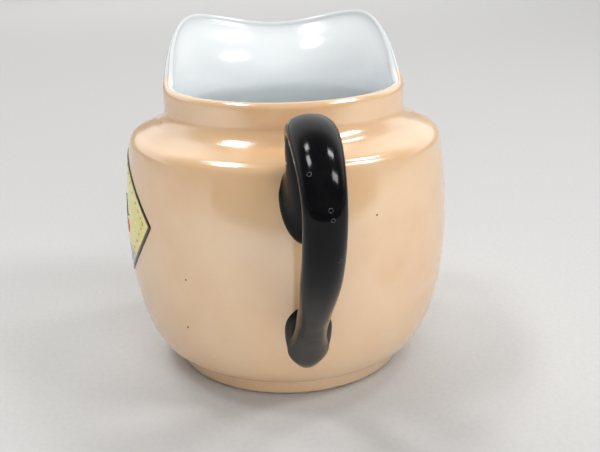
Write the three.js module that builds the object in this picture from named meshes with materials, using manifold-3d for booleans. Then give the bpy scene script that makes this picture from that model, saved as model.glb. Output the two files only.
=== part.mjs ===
// A porcelain cream jug: a round pot with a foot ring and a sloping shoulder, a low collar that is
// pulled up into a wide pouring lip, and a black ear handle luted on at two pads.
// Millimetres, +Z up. The handle points along -Y and the lip along +Y.
import * as THREE from "three";
import { mergeVertices } from "three/addons/utils/BufferGeometryUtils.js";
import Module from "manifold-3d";

const wasm = await Module();
wasm.setup();

// Pot, as the clay surface under the glaze. Rises are stacked from the foot upwards.
const WALL = 3.0;
const RIM_WALL = 2.2;
const FOOT_RADIUS = 32.3;
const FOOT_HEIGHT = 5.6;
const FOOT_FLARE = 1.6;
const FOOT_RING_WIDTH = 4.4;
const FOOT_RECESS = 4.6;
const FOOT_EDGE = 0.7;
const BELLY_RADIUS = 44.65;
const BELLY_RISE = 33.4;
const SHOULDER_RISE = 25.3;
const SHOULDER_DRAW_IN = 2.1;
const SHOULDER_ROUND = 2.6;
const SHOULDER_WIDTH = 10.1;
const SHOULDER_SLOPE = 6.2;
const NECK_FILLET = 2.7;
const COLLAR_HEIGHT = 8.4;

// Where the shoulder's edge and the neck's fillet bend, as shares of the shoulder's slope and round
const SLOPE_FOOT_SHARE = 0.42;
const SLOPE_TOP_SHARE = 0.25;
const EDGE_BEND_SHARE = 0.125;
const NECK_BEND_SHARE = 1 / 12;

// Pouring lip: two rounded ears with a shallow dip between them. Angles are from the lip's middle.
const LIP_RISE = 14.9;
const LIP_DIP = 3.8;
const LIP_FLARE = 10.0;
const LIP_FLARE_POWER = 1.5;
const LIP_START_ANGLE = 90;
const LIP_EAR_ANGLE = 39.7;
const LIP_RAMP_POWER = 1.1;
const LIP_TURN = 3.5;

// Coats and joints
const GLAZE = 0.35;
const GAP = 0.3;
const PAD_THICKNESS = 1.5;

// Handle, as a flattened oval strap on a centre line in the YZ plane
const UPPER_ROOT_DROP = 8.0;
const LOWER_ROOT_RISE = 15.1;
const ROOT_DEPTH = 3.0;
const TAIL_DEPTH = 3.0;
const CREST_RISE = 21.5;
const CREST_OUT = 10.0;
const HANDLE_STAND_OFF = 28.4;
const HANDLE_REACH_DROP = 13.5;
const HANDLE_THICKNESS = 6.4;
const ROOT_THICKNESS = 12.0;
const ROOT_WIDTH = 9.0;
const CREST_WIDTH = 11.2;
const WAIST_WIDTH = 9.3;
const TAIL_WIDTH = 8.2;
const TAIL_END_WIDTH = 10.4;
const STRAP_ROUNDNESS = 2.5;

// Places along the strap, as shares of its length
const ROOT_THICK_SHARE = 0.25;
const CREST_WIDTH_SHARE = 0.28;
const WAIST_START_SHARE = 0.5;
const WAIST_END_SHARE = 0.64;
const TAIL_WIDTH_SHARE = 0.78;

// Where the centre line's three curves bend, as shares of their spans
const ROOT_OUT_SHARE = 0.4;
const ROOT_UP_SHARE = 0.36;
const CREST_IN_SHARE = 0.34;
const CREST_OUT_SHARE = 0.47;
const REACH_UP_SHARE = 0.5;
const REACH_DOWN_SHARE = 0.35;
const TAIL_OUT_SHARE = 0.41;
const TAIL_UP_SHARE = 0.28;

// Pads under the handle's two roots, egg shaped
const UPPER_PAD = { halfWidth: 6.4, above: 6.2, below: 12.0, drop: 4.6 };
const LOWER_PAD = { halfWidth: 5.9, above: 6.6, below: 12.6, rise: 19.6 };

// Facets
const SEGMENTS = 40;
const BELLY_STEPS = 7;
const SHOULDER_STEPS = 3;
const EDGE_STEPS = 2;
const COLLAR_STEPS = 3;
const STRAP_STEPS = 30;
const STRAP_SIDES = 12;
const PAD_SIDES = 10;
const MERGE_DISTANCE = 1e-4;

const BLACK = "#0c0c0e";

const bellyHeight = FOOT_HEIGHT + BELLY_RISE;
const shoulderHeight = bellyHeight + SHOULDER_RISE;
const shoulderRadius = BELLY_RADIUS - SHOULDER_DRAW_IN;
const neckRadius = shoulderRadius - SHOULDER_WIDTH;
const neckHeight = shoulderHeight + SHOULDER_SLOPE;
const rimHeight = neckHeight + COLLAR_HEIGHT;
const rimSide = rimHeight - RIM_WALL / 2;
const collarBase = neckHeight + NECK_FILLET;
const footTopRadius = FOOT_RADIUS + FOOT_FLARE;

const point = (r, z) => new THREE.Vector2(r, z);

// Points along a curve, without its first one, which is the last of the curve before it.
function along(curve, steps) {
  return curve.getPoints(steps).slice(1);
}

// The outer clay surface from the foot's top up to the side of the rim.
function outerWall() {
  const foot = point(footTopRadius, FOOT_HEIGHT);
  const belly = point(BELLY_RADIUS, bellyHeight);
  const shoulder = point(shoulderRadius, shoulderHeight);
  const slope = neckHeight - shoulderHeight;
  const slopeTop = point(neckRadius + NECK_FILLET, neckHeight - slope * SLOPE_TOP_SHARE);
  const slopeFoot = point(
    shoulderRadius - SHOULDER_ROUND, shoulderHeight + slope * SLOPE_FOOT_SHARE,
  );
  const edgeBend = point(
    shoulder.x - SHOULDER_ROUND * EDGE_BEND_SHARE, slopeFoot.y - slope * EDGE_BEND_SHARE,
  );
  const neck = point(neckRadius, collarBase);
  const lower = new THREE.EllipseCurve(
    foot.x, belly.y, belly.x - foot.x, belly.y - foot.y, -Math.PI / 2, 0,
  );
  const upper = new THREE.QuadraticBezierCurve(
    belly, point(belly.x, (belly.y + shoulder.y) / 2), shoulder,
  );
  const edge = new THREE.QuadraticBezierCurve(shoulder, edgeBend, slopeFoot);
  const fillet = new THREE.QuadraticBezierCurve(
    slopeTop, point(neck.x, neckHeight + slope * NECK_BEND_SHARE), neck,
  );
  const collar = new THREE.LineCurve(neck, point(neck.x, rimSide));
  return [
    foot,
    ...along(lower, BELLY_STEPS),
    ...along(upper, SHOULDER_STEPS),
    ...along(edge, EDGE_STEPS),
    slopeTop,
    ...along(fillet, EDGE_STEPS),
    ...along(collar, COLLAR_STEPS),
  ];
}

// Unit normals of an open profile, to the left of its direction.
function normals(profile) {
  return profile.map((_, i) => {
    const before = profile[Math.max(i - 1, 0)];
    const after = profile[Math.min(i + 1, profile.length - 1)];
    const way = after.clone().sub(before).normalize();
    return point(-way.y, way.x);
  });
}

function offset(profile, distance) {
  const out = normals(profile);
  return profile.map((p, i) => p.clone().addScaledVector(out[i], distance));
}

const outside = outerWall();
const inside = offset(outside, WALL);
const floorHeight = inside[0].y;

// The collar's wall thins towards the rim.
inside.filter((p) => p.y > collarBase).forEach((p) => {
  const thickness = THREE.MathUtils.mapLinear(p.y, collarBase, rimSide, WALL, RIM_WALL);
  p.x = neckRadius - thickness;
});

// The rim's round top, from its inner side to its crest and from its crest to its outer side.
const rimCentre = point(neckRadius - RIM_WALL / 2, rimSide);
const rimArc = (from, to) => along(
  new THREE.EllipseCurve(rimCentre.x, rimCentre.y, RIM_WALL / 2, RIM_WALL / 2, from, to, true),
  EDGE_STEPS,
);

const recessRadius = FOOT_RADIUS - FOOT_RING_WIDTH;
const insideFace = [point(0, floorHeight), ...inside, ...rimArc(Math.PI, Math.PI / 2)];
const outsideFace = [
  insideFace[insideFace.length - 1],
  ...rimArc(Math.PI / 2, 0),
  ...outside.slice(0, -1).reverse(),
  point(FOOT_RADIUS, FOOT_EDGE),
];
const undersideFace = [point(recessRadius, FOOT_RECESS), point(0, FOOT_RECESS)];
const restFace = [point(FOOT_RADIUS - FOOT_EDGE, 0), point(recessRadius + FOOT_EDGE, 0)];

// How much of the lip's rise is reached at an angle from its middle, in degrees.
function lipShare(angle) {
  const ramp = (LIP_START_ANGLE - Math.abs(angle)) / (LIP_START_ANGLE - LIP_EAR_ANGLE);
  return 1 - (1 - THREE.MathUtils.clamp(ramp, 0, 1)) ** LIP_RAMP_POWER;
}

function lipDip(angle) {
  const turn = Math.min(Math.abs(angle) / LIP_EAR_ANGLE, 1);
  return LIP_DIP * Math.cos((turn * Math.PI) / 2) ** 2;
}

// The collar is pulled up and flared out, more so towards its rim.
function pullLip(position) {
  const turned = THREE.MathUtils.radToDeg(Math.atan2(position.x, position.y)) - LIP_TURN;
  const angle = THREE.MathUtils.euclideanModulo(turned + 180, 360) - 180;
  const share = THREE.MathUtils.clamp((position.z - collarBase) / (rimSide - collarBase), 0, 1);
  const rise = lipShare(angle);
  const radius = Math.hypot(position.x, position.y);
  const flare = LIP_FLARE * rise ** 2 * share ** LIP_FLARE_POWER;
  const grown = radius > 0 ? 1 + flare / radius : 1;
  return new THREE.Vector3(
    position.x * grown,
    position.y * grown,
    position.z + (LIP_RISE * rise - lipDip(angle)) * share,
  );
}

// A closed geometry of positions alone, with shared vertices merged and flat triangles dropped.
function closed(geometry) {
  geometry.deleteAttribute("normal");
  geometry.deleteAttribute("uv");
  const merged = mergeVertices(geometry, MERGE_DISTANCE);
  const index = [...merged.index.array];
  const kept = [];
  for (let i = 0; i < index.length; i += 3) {
    const corners = index.slice(i, i + 3);
    if (new Set(corners).size === 3) kept.push(...corners);
  }
  return merged.setIndex(kept);
}

// Each quad of a lathe split along its shorter diagonal, so that faces that touch split alike.
function splitShort(lathe, rings) {
  const corner = (i) => new THREE.Vector3().fromBufferAttribute(lathe.attributes.position, i);
  const index = [];
  for (let segment = 0; segment < SEGMENTS; segment += 1) {
    for (let ring = 0; ring < rings - 1; ring += 1) {
      const a = segment * rings + ring;
      const [b, c, d] = [a + rings, a + rings + 1, a + 1];
      const first = corner(a).distanceTo(corner(c));
      const second = corner(b).distanceTo(corner(d));
      index.push(...(first < second ? [a, b, c, a, c, d] : [a, b, d, c, d, b]));
    }
  }
  return lathe.setIndex(index);
}

// A profile turned about Z, given with its material on the right of its direction.
function turned(profile, move = (position) => position) {
  const start = THREE.MathUtils.degToRad(-LIP_TURN);
  const lathe = new THREE.LatheGeometry([...profile].reverse(), SEGMENTS, start, 2 * Math.PI);
  lathe.rotateX(Math.PI / 2);
  const positions = lathe.attributes.position;
  for (let i = 0; i < positions.count; i += 1) {
    const moved = move(new THREE.Vector3().fromBufferAttribute(positions, i));
    positions.setXYZ(i, moved.x, moved.y, moved.z);
  }
  return closed(splitShort(lathe, profile.length));
}

function solidOf(geometry) {
  return new wasm.Manifold(new wasm.Mesh({
    numProp: 3,
    vertProperties: new Float32Array(geometry.attributes.position.array),
    triVerts: new Uint32Array(geometry.index.array),
  }));
}

function geometryOf(solid) {
  const mesh = solid.getMesh();
  return new THREE.BufferGeometry()
    .setAttribute("position", new THREE.BufferAttribute(mesh.vertProperties, 3))
    .setIndex(new THREE.BufferAttribute(mesh.triVerts, 1));
}

// A coat on one face of the clay, as thick as the glaze.
function coatProfile(face) {
  const outer = offset(face, GLAZE);
  outer.forEach((p, i) => {
    if (face[i].x === 0) p.set(0, face[i].y + Math.sign(p.y - face[i].y) * GLAZE);
  });
  return outer;
}

function potBody() {
  const profile = [...insideFace, ...outsideFace.slice(1), ...restFace, ...undersideFace];
  return turned(profile, pullLip);
}

// A coat's own profile runs along its outer surface and back along the clay.
function coat(face) {
  const outer = coatProfile(face);
  const clay = [...face].reverse();
  const endsOnAxis = clay[0].x === 0;
  const startsOnAxis = outer[0].x === 0;
  const shell = endsOnAxis ? [...clay, ...outer] : [...outer, ...clay];
  return turned(endsOnAxis || startsOnAxis ? shell : [...shell, outer[0].clone()], pullLip);
}

// The pot as a plain solid whose side stands a distance off the clay, up to the neck.
function potStandingOff(distance) {
  const side = offset(outside, -distance).filter((p) => p.y < neckHeight);
  const below = point(0, side[0].y);
  const above = point(0, side[side.length - 1].y);
  return solidOf(turned([above, ...side.reverse(), below]));
}

function potRadiusAt(height) {
  const above = outside.findIndex((p) => p.y >= height);
  const [low, high] = [outside[above - 1], outside[above]];
  return THREE.MathUtils.mapLinear(height, low.y, high.y, low.x, high.x);
}

// An egg-shaped prism along -Y through the pot's side, with its widest part at a height.
function eggPrism(pad, height, grow) {
  const half = pad.halfWidth + grow;
  const shape = new THREE.Shape()
    .moveTo(half, height)
    .absellipse(0, height, half, pad.above + grow, 0, Math.PI)
    .absellipse(0, height, half, pad.below + grow, Math.PI, 2 * Math.PI);
  const prism = new THREE.ExtrudeGeometry(shape, {
    depth: BELLY_RADIUS + HANDLE_STAND_OFF,
    bevelEnabled: false,
    curveSegments: PAD_SIDES,
  });
  return solidOf(closed(prism.rotateX(Math.PI / 2)));
}

const upperPadHeight = shoulderHeight - UPPER_PAD.drop;
const lowerPadHeight = FOOT_HEIGHT + LOWER_PAD.rise;

// A pad seats on bare clay, in a window that the coat leaves round it.
function padSolid(pad, height) {
  const layer = potStandingOff(GAP + PAD_THICKNESS).subtract(potStandingOff(GAP));
  return geometryOf(eggPrism(pad, height, 0).intersect(layer));
}

function outsideCoat() {
  return geometryOf(
    solidOf(coat(outsideFace))
      .subtract(eggPrism(UPPER_PAD, upperPadHeight, GAP))
      .subtract(eggPrism(LOWER_PAD, lowerPadHeight, GAP)),
  );
}

// The handle's centre line: up from the upper root to the crest, out to its reach, down to its tail.
const upperRootHeight = shoulderHeight - UPPER_ROOT_DROP;
const tailHeight = FOOT_HEIGHT + LOWER_ROOT_RISE;
const upperRoot = point(potRadiusAt(upperRootHeight) - ROOT_DEPTH, upperRootHeight);
const tail = point(potRadiusAt(tailHeight) - TAIL_DEPTH, tailHeight);
const crest = point(potRadiusAt(upperRootHeight) + CREST_OUT, upperRootHeight + CREST_RISE);
const reach = point(BELLY_RADIUS + HANDLE_STAND_OFF, crest.y - HANDLE_REACH_DROP);

function handleLine() {
  const line = new THREE.CurvePath();
  const rise = crest.y - upperRoot.y;
  const crestOut = reach.x - crest.x;
  const fall = reach.y - tail.y;
  const draw = reach.x - tail.x;
  line.add(new THREE.CubicBezierCurve(
    upperRoot,
    point(upperRoot.x + rise * ROOT_OUT_SHARE, upperRoot.y + rise * ROOT_UP_SHARE),
    point(crest.x - rise * CREST_IN_SHARE, crest.y),
    crest,
  ));
  line.add(new THREE.CubicBezierCurve(
    crest,
    point(crest.x + crestOut * CREST_OUT_SHARE, crest.y),
    point(reach.x, reach.y + HANDLE_REACH_DROP * REACH_UP_SHARE),
    reach,
  ));
  line.add(new THREE.CubicBezierCurve(
    reach,
    point(reach.x, reach.y - fall * REACH_DOWN_SHARE),
    point(tail.x + draw * TAIL_OUT_SHARE, tail.y + fall * TAIL_UP_SHARE),
    tail,
  ));
  return line;
}

// Width along the strap, eased from station to station.
function strapWidth(share) {
  const stations = [
    [0, ROOT_WIDTH],
    [CREST_WIDTH_SHARE, CREST_WIDTH],
    [WAIST_START_SHARE, WAIST_WIDTH],
    [WAIST_END_SHARE, WAIST_WIDTH],
    [TAIL_WIDTH_SHARE, TAIL_WIDTH],
    [1, TAIL_END_WIDTH],
  ];
  const next = Math.max(1, stations.findIndex(([at]) => at >= share));
  const [[from, start], [to, end]] = [stations[next - 1], stations[next]];
  return start + (end - start) * THREE.MathUtils.smoothstep(share, from, to);
}

// The strap is thickest where it leaves the pot at its upper root.
function strapThickness(share) {
  const eased = THREE.MathUtils.smoothstep(share, 0, ROOT_THICK_SHARE);
  return THREE.MathUtils.lerp(ROOT_THICKNESS, HANDLE_THICKNESS, eased);
}

function strapGeometry() {
  const line = handleLine();
  const positions = [];
  const power = 2 / STRAP_ROUNDNESS;
  const bulge = (value) => Math.sign(value) * Math.abs(value) ** power;
  for (let step = 0; step <= STRAP_STEPS; step += 1) {
    const share = step / STRAP_STEPS;
    const middle = line.getPointAt(share);
    const way = line.getTangentAt(share);
    for (let side = 0; side < STRAP_SIDES; side += 1) {
      const turn = (2 * Math.PI * side) / STRAP_SIDES;
      const across = (bulge(Math.cos(turn)) * strapWidth(share)) / 2;
      const deep = (bulge(Math.sin(turn)) * strapThickness(share)) / 2;
      positions.push(across, -(middle.x - way.y * deep), middle.y + way.x * deep);
    }
  }
  const index = [];
  for (let step = 0; step < STRAP_STEPS; step += 1) {
    for (let side = 0; side < STRAP_SIDES; side += 1) {
      const a = step * STRAP_SIDES + side;
      const b = step * STRAP_SIDES + ((side + 1) % STRAP_SIDES);
      index.push(a, b, b + STRAP_SIDES, a, b + STRAP_SIDES, a + STRAP_SIDES);
    }
  }
  const last = STRAP_STEPS * STRAP_SIDES;
  for (let side = 1; side < STRAP_SIDES - 1; side += 1) {
    index.push(0, side + 1, side, last, last + side, last + side + 1);
  }
  return new THREE.BufferGeometry()
    .setAttribute("position", new THREE.Float32BufferAttribute(positions, 3))
    .setIndex(index);
}

// The strap stops short of the pads' outer faces.
function handle() {
  const strap = solidOf(strapGeometry());
  return geometryOf(strap.subtract(potStandingOff(GAP + PAD_THICKNESS + GAP)));
}

function piece(name, geometry, color, roughness) {
  const material = new THREE.MeshStandardMaterial({ color, roughness, metalness: 0 });
  const mesh = new THREE.Mesh(geometry, material);
  mesh.name = name;
  return mesh;
}

const jug = new THREE.Group();
jug.add(
  piece("pot_body", potBody(), "#efe9df", 0.6),
  piece("inside_glaze", coat(insideFace), "#eef2f2", 0.12),
  piece("outside_lustre_glaze", outsideCoat(), "#e2b784", 0.15),
  piece("underside_glaze", coat(undersideFace), "#ecebe4", 0.15),
  piece("upper_handle_joint", padSolid(UPPER_PAD, upperPadHeight), BLACK, 0.2),
  piece("lower_handle_joint", padSolid(LOWER_PAD, lowerPadHeight), BLACK, 0.2),
  piece("handle", handle(), BLACK, 0.12),
);

// The origin is under the middle of the whole length, from the handle's back to the belly's front.
const backReach = reach.x + HANDLE_THICKNESS / 2;
const frontReach = BELLY_RADIUS + GLAZE;
jug.position.y = (backReach - frontReach) / 2;

export default jug;
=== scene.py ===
"""A porcelain cream jug: peach lustre outside, white glaze inside, a black ear handle and a painted panel.

Sizes are in millimetres and follow the jug's solids, with finer curves at the lip and the handle's tail.
Meshes are written in metres, in the solids' own frame: +Z up, the handle along -Y, the lip along +Y.
"""

import logging
import math
from dataclasses import dataclass, field
from enum import Enum

import bpy
import numpy as np
from mathutils import Matrix, Vector


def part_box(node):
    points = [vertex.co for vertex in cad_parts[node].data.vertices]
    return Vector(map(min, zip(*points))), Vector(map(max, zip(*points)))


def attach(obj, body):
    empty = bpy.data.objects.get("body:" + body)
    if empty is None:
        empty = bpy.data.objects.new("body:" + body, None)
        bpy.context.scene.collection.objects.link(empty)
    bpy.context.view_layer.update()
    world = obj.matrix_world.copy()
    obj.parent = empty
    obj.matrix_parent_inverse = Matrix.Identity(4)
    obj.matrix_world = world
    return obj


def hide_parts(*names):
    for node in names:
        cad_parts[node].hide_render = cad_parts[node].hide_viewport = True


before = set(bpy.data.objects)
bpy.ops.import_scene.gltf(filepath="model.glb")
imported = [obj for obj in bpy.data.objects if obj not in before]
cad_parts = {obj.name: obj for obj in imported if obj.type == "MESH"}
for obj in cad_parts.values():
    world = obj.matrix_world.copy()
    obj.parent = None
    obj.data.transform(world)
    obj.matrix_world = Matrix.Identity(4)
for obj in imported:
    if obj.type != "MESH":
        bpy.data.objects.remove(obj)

LOG = logging.getLogger("cream_jug")
MM = 0.001
BODY = "root"
LIP_WHITE = "lip_white"

# The camera's picture in pixels, its sensor in millimetres and its near end in metres
PHOTO_WIDTH = 600
SENSOR_WIDTH = 36.0
CLIP_START = 0.01

# Where most of a noise's values lie, and the Mix node's colour sockets by number
NOISE_SPAN = (0.3, 0.7)
MIX_UNDER, MIX_OVER, MIX_RESULT = 6, 7, 2

# The small marks, with lengths as shares of a mark's width
MARK_SIDES = 18
MARK_RADIUS = 0.5
RING_WIRE_SIDES = 5
RING_WIRE_RADIUS = 0.13
DOME_RINGS = 6
DOME_FLATTENING = 0.3

# The welding distance in metres, and small steps in millimetres
WELD = 1e-6
LEAST_RISE = 1e-3
LEAST_RADIUS = 1e-6
LEAN_STEP = 1.0


class Slot(Enum):
    """The record's material slots."""

    CLAY = "bare_porcelain"
    WHITE = "white_glaze"
    LUSTRE = "peach_lustre"
    BLACK = "black_glaze"


class Mark(Enum):
    """The two kinds of small mark that are set out point by point."""

    RING = "ring"
    DOME = "dome"


@dataclass(frozen=True)
class Ripple:
    """A finish's fine relief: its waves' width and depth in millimetres, their octaves and strength."""

    size: float
    depth: float
    detail: float = 2.0
    strength: float = 0.3


class ShaderTree:
    """A shader node tree, with short ways to add and join its nodes."""

    def __init__(self, tree: bpy.types.NodeTree) -> None:
        """Take up a tree.

        Args:
            tree: A material's or a world's own tree.
        """
        self.tree = tree

    def add(self, kind: str, **inputs: object) -> bpy.types.Node:
        """Add a node and set its inputs by name.

        Args:
            kind: The node's type, without its ShaderNode prefix.
            inputs: Values for the node's sockets, with spaces written as underscores.

        Returns:
            The new node.
        """
        node = self.tree.nodes.new("ShaderNode" + kind)
        for key, value in inputs.items():
            node.inputs[key.replace("_", " ")].default_value = value
        return node

    def join(self, source: bpy.types.NodeSocket, target: bpy.types.NodeSocket) -> None:
        """Link one socket to another."""
        self.tree.links.new(source, target)

    def ramp(self, value: bpy.types.NodeSocket, stops: list) -> bpy.types.NodeSocket:
        """A colour ramp on a value.

        Args:
            value: The socket that drives it.
            stops: Pairs of position and colour.

        Returns:
            The ramp's colour socket.
        """
        node = self.add("ValToRGB")
        elements = node.color_ramp.elements
        while len(elements) < len(stops):
            elements.new(0.5)
        for element, (position, colour) in zip(elements, stops):
            element.position = position
            element.color = (*colour, 1.0)
        self.join(value, node.inputs["Fac"])
        return node.outputs["Color"]

    def span(self, value: bpy.types.NodeSocket, source: tuple, target: tuple) -> bpy.types.NodeSocket:
        """A value moved from one range to another.

        Args:
            value: The socket to map.
            source: The range that it comes in, low and high.
            target: The range that it leaves in.

        Returns:
            The mapped value's socket.
        """
        node = self.add(
            "MapRange", From_Min=source[0], From_Max=source[1], To_Min=target[0], To_Max=target[1]
        )
        self.join(value, node.inputs["Value"])
        return node.outputs["Result"]


class Shader(ShaderTree):
    """A material's node tree, which ends in a Principled shader."""

    def __init__(self, name: str) -> None:
        """Start a material.

        Args:
            name: The material's name.
        """
        self.material = bpy.data.materials.new(name)
        self.material.use_nodes = True
        super().__init__(self.material.node_tree)
        self.principled = self.tree.nodes["Principled BSDF"]

    def set(self, **inputs: object) -> None:
        """Set constants on the Principled shader's own sockets."""
        for key, value in inputs.items():
            self.principled.inputs[key.replace("_", " ")].default_value = value

    def place(self) -> bpy.types.NodeSocket:
        """Object coordinates, which the patterns follow."""
        return self.add("TexCoord").outputs["Object"]

    def noise(self, place: bpy.types.NodeSocket, size: float, detail: float = 3.0) -> bpy.types.NodeSocket:
        """A noise whose blotches are about one size across.

        Args:
            place: The coordinates that it follows.
            size: A blotch's width in millimetres.
            detail: The noise's octaves.

        Returns:
            The noise's value socket.
        """
        node = self.add("TexNoise", Scale=1.0 / (size * MM), Detail=detail)
        self.join(place, node.inputs["Vector"])
        return node.outputs["Fac"]

    def attribute(self, name: str) -> bpy.types.NodeSocket:
        """A value that the mesh carries.

        Args:
            name: The mesh attribute's name.

        Returns:
            The value's socket.
        """
        node = self.add("Attribute")
        node.attribute_name = name
        return node.outputs["Fac"]

    def blend(self, factor: bpy.types.NodeSocket, under: bpy.types.NodeSocket,
              colour: tuple) -> bpy.types.NodeSocket:
        """Mix a constant colour over another by a factor.

        Args:
            factor: The share of the constant colour.
            under: The colour under it.
            colour: The constant colour.

        Returns:
            The mixed colour's socket.
        """
        node = self.add("Mix")
        node.data_type = "RGBA"
        node.inputs[MIX_OVER].default_value = (*colour, 1.0)
        self.join(factor, node.inputs["Factor"])
        self.join(under, node.inputs[MIX_UNDER])
        return node.outputs[MIX_RESULT]

    def paint(self, colour: bpy.types.NodeSocket) -> None:
        """Drive the Principled shader's base colour."""
        self.join(colour, self.principled.inputs["Base Color"])

    def gloss(self, value: bpy.types.NodeSocket, roughness: tuple) -> None:
        """Let a noise drive the Principled shader's roughness, between a low and a high value."""
        self.join(self.span(value, NOISE_SPAN, roughness), self.principled.inputs["Roughness"])

    def bump(self, place: bpy.types.NodeSocket, ripple: Ripple) -> None:
        """Drive the Principled shader's normal by a fine relief.

        Args:
            place: The coordinates that it follows.
            ripple: The relief.
        """
        node = self.add("Bump", Strength=ripple.strength, Distance=ripple.depth * MM)
        self.join(self.noise(place, ripple.size, ripple.detail), node.inputs["Height"])
        self.join(node.outputs["Normal"], self.principled.inputs["Normal"])


@dataclass(frozen=True)
class PeachLustre:
    """A thin peach lustre over clear glaze: pearly and a little uneven, and left off the lip's rim."""

    pale: tuple = (0.93, 0.635, 0.375)
    middle: tuple = (0.90, 0.575, 0.312)
    deep: tuple = (0.85, 0.505, 0.248)
    # The white where the lustre is left off the lip's rim, as grey as the lining's rim: real white glaze,
    # darkened as painted shade
    white: tuple = (0.76, 0.79, 0.80)
    sheen: tuple = (0.82, 0.95, 1.0, 1.0)
    roughness: tuple = (0.12, 0.21)
    cloud_size: float = 26.0
    grain_size: float = 1.1
    grain_span: tuple = (0.62, 0.80)
    grain_share: float = 0.35
    ripple: Ripple = Ripple(6.0, 0.05)

    def material(self) -> bpy.types.Material:
        """Build the lustre's material.

        Returns:
            The material.
        """
        s = Shader("peach_lustre")
        s.set(IOR=2.6, Specular_Tint=self.sheen, Coat_Weight=0.4, Coat_Roughness=0.08, Coat_IOR=1.5)
        place = s.place()
        clouds = s.noise(place, self.cloud_size, detail=4.0)
        grain = s.noise(place, self.grain_size, detail=6.0)
        colour = s.ramp(clouds, [(0.3, self.deep), (0.5, self.middle), (0.72, self.pale)])
        colour = s.blend(s.span(grain, self.grain_span, (0.0, self.grain_share)), colour, self.pale)
        # The lip's rim stays white, in a greyer white that is partly painted shade
        s.paint(s.blend(s.attribute(LIP_WHITE), colour, self.white))
        s.gloss(grain, self.roughness)
        s.bump(place, self.ripple)
        return s.material


@dataclass(frozen=True)
class WhiteGlaze:
    """A cool white transparent glaze over porcelain, wet-looking, with painted shade on the lip's rim, which
    is greyer than the rest.
    """

    colour: tuple = (0.85, 0.88, 0.89)
    shade: tuple = (0.83, 0.863, 0.875)
    # Painted shade: a greyer white for the lip's rim, so that its rounded top catches less light
    rim: tuple = (0.76, 0.79, 0.80)
    roughness: tuple = (0.14, 0.18)
    cloud_size: float = 18.0
    gloss_size: float = 6.0
    ripple: Ripple = Ripple(7.0, 0.06)

    def material(self) -> bpy.types.Material:
        """Build the white glaze's material.

        Returns:
            The material.
        """
        s = Shader("white_glaze")
        s.set(Coat_Weight=0.4, Coat_Roughness=0.14, IOR=1.5)
        place = s.place()
        colour = s.ramp(s.noise(place, self.cloud_size), [(0.35, self.shade), (0.65, self.colour)])
        # Painted shade: the lip's rim takes the greyer rim colour
        s.paint(s.blend(s.attribute(LIP_WHITE), colour, self.rim))
        s.gloss(s.noise(place, self.gloss_size), self.roughness)
        s.bump(place, self.ripple)
        return s.material


@dataclass(frozen=True)
class BlackGlaze:
    """A high-gloss black glaze with a slight ripple, and a painted grey sheen low down on the handle's tail,
    standing in for the floor's reflection.
    """

    colour: tuple = (0.003, 0.003, 0.004)
    thin: tuple = (0.007, 0.006, 0.006)
    # Painted reflection: the grey of the floor's sheen on the tail, the heights where it starts and where it
    # is full, and its greatest share
    painted_floor_sheen: tuple = (0.085, 0.078, 0.072)
    painted_sheen_top: float = 31.0
    painted_sheen_full: float = 22.0
    painted_sheen_share: float = 0.7
    roughness: tuple = (0.10, 0.14)
    cloud_size: float = 5.0
    gloss_size: float = 2.0
    ripple: Ripple = Ripple(3.5, 0.05)

    def material(self) -> bpy.types.Material:
        """Build the black glaze's material.

        Returns:
            The material.
        """
        s = Shader("black_glaze")
        s.set(IOR=1.45, Specular_IOR_Level=0.23)
        place = s.place()
        clouds = s.noise(place, self.cloud_size, detail=4.0)
        colour = s.ramp(clouds, [(0.4, self.colour), (0.8, self.thin)])
        height = s.add("SeparateXYZ")
        s.join(place, height.inputs["Vector"])
        # Painted reflection: below the top height the glaze turns greyer, standing in for the floor's sheen
        # on the tail
        painted_sheen_span = (self.painted_sheen_top * MM, self.painted_sheen_full * MM)
        painted_floor_sheen = s.span(height.outputs["Z"], painted_sheen_span, (0.0, self.painted_sheen_share))
        s.paint(s.blend(painted_floor_sheen, colour, self.painted_floor_sheen))
        s.gloss(s.noise(place, self.gloss_size), self.roughness)
        s.bump(place, self.ripple)
        return s.material


@dataclass(frozen=True)
class BareClay:
    """Fired porcelain without glaze, with the fine tooth and grey scuffs of a foot that has been used."""

    colour: tuple = (0.72, 0.66, 0.57)
    scuff: tuple = (0.38, 0.33, 0.28)
    scuff_size: float = 3.0
    ripple: Ripple = Ripple(0.5, 0.06, detail=4.0, strength=0.6)

    def material(self) -> bpy.types.Material:
        """Build the bare clay's material.

        Returns:
            The material.
        """
        s = Shader("bare_clay")
        s.set(Roughness=0.75)
        place = s.place()
        scuffs = s.noise(place, self.scuff_size, detail=6.0)
        s.paint(s.ramp(scuffs, [(0.3, self.scuff), (0.55, self.colour)]))
        s.bump(place, self.ripple)
        return s.material


@dataclass(frozen=True)
class Enamel:
    """An overglaze enamel, brushed on by hand: a little uneven in thickness and gloss."""

    name: str
    colour: tuple
    thin: tuple
    roughness: tuple = (0.16, 0.30)
    brush_size: float = 2.6
    gloss_size: float = 1.2

    def material(self) -> bpy.types.Material:
        """Build the enamel's material.

        Returns:
            The material.
        """
        s = Shader(self.name)
        s.set(IOR=1.55, Coat_Weight=0.25, Coat_Roughness=0.06)
        place = s.place()
        strokes = s.noise(place, self.brush_size, detail=5.0)
        s.paint(s.ramp(strokes, [(0.32, self.thin), (0.58, self.colour)]))
        s.gloss(s.noise(place, self.gloss_size), self.roughness)
        return s.material


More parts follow.
